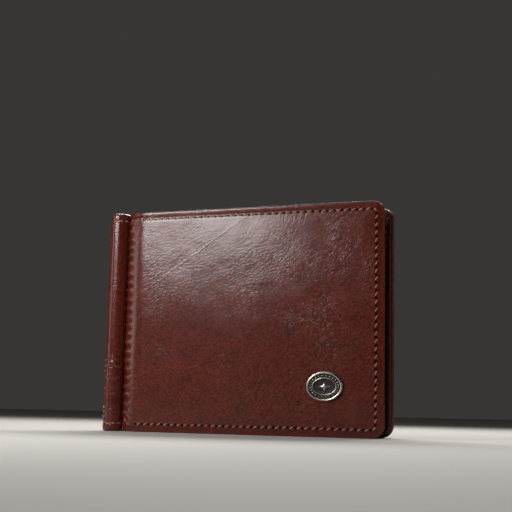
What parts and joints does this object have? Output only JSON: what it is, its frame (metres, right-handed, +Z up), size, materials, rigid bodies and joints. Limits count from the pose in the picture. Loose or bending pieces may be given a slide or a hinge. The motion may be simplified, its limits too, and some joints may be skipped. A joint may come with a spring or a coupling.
{
  "type": "money clip wallet",
  "caption": "Bifold leather wallet with card pockets, a rolled spine and a sprung metal money clip hinged inside the spine.",
  "frame": {"origin": "middle of the underside of the wallet's box, standing on its long edge", "axes": "+Z up along the spine, +X from the spine roll to the covers' free edges, the front cover with the badge faces -Y"},
  "size_m": [0.1126, 0.0184, 0.085],
  "materials": {
    "outer_leather": "polished reddish-brown grained cowhide",
    "pocket_leather": "thin reddish-brown calf, satin",
    "board": "bonded leather fibre board",
    "lining": "fine woven lining",
    "thread": "waxed twisted polyester thread",
    "clip_plate": "polished nickel plating",
    "steel": "brushed",
    "spring_steel": "drawn wire",
    "badge_metal": "antiqued nickel, polished rim"
  },
  "bodies": {
    "spine": {"spine_leather": "outer_leather", "spine_inner_strip": "pocket_leather", "spine_seam_front": "thread", "spine_seam_back": "thread", "clip_rail": "steel", "rail_rivets": "steel", "clip_spring_upper": "spring_steel", "clip_spring_lower": "spring_steel"},
    "clip": {"clip_frame": "clip_plate", "clip_pin_upper": "steel", "clip_pin_lower": "steel"},
    "front_cover": {"front_leather": "outer_leather", "front_board": "board", "front_lining": "lining", "front_pocket_panel": "pocket_leather", "front_card_pocket_upper": "pocket_leather", "front_card_pocket_middle": "pocket_leather", "front_card_pocket_lower": "pocket_leather", "front_stitching": "thread", "badge": "badge_metal", "badge_backing_plate": "steel"},
    "back_cover": {"back_leather": "outer_leather", "back_board": "board", "back_lining": "lining", "back_pocket_panel": "pocket_leather", "back_card_pocket_upper": "pocket_leather", "back_card_pocket_middle": "pocket_leather", "back_card_pocket_lower": "pocket_leather", "back_stitching": "thread"}
  },
  "joints": [
    {"name": "front_fold", "type": "hinge", "parent": "spine", "child": "front_cover", "pos_m": [-0.0477, -0.00213, 0.0425], "axis": [0, 0, -1], "range_deg": [-2, 85]},
    {"name": "back_fold", "type": "hinge", "parent": "spine", "child": "back_cover", "pos_m": [-0.0477, 0.00627, 0.0425], "axis": [0, 0, 1], "range_deg": [0, 85]},
    {"name": "clip_swing", "type": "hinge", "parent": "spine", "child": "clip", "pos_m": [-0.0457, 0.00207, 0.0425], "axis": [0, 0, -1], "range_deg": [-1.85, 76.55], "stiffness_Nm_per_rad": 0.01, "deforming": ["clip_spring_upper", "clip_spring_lower"]}
  ],
  "couplings": [
    {"joint": "clip_swing", "follows": "front_fold", "ratio": 0.9}
  ]
}
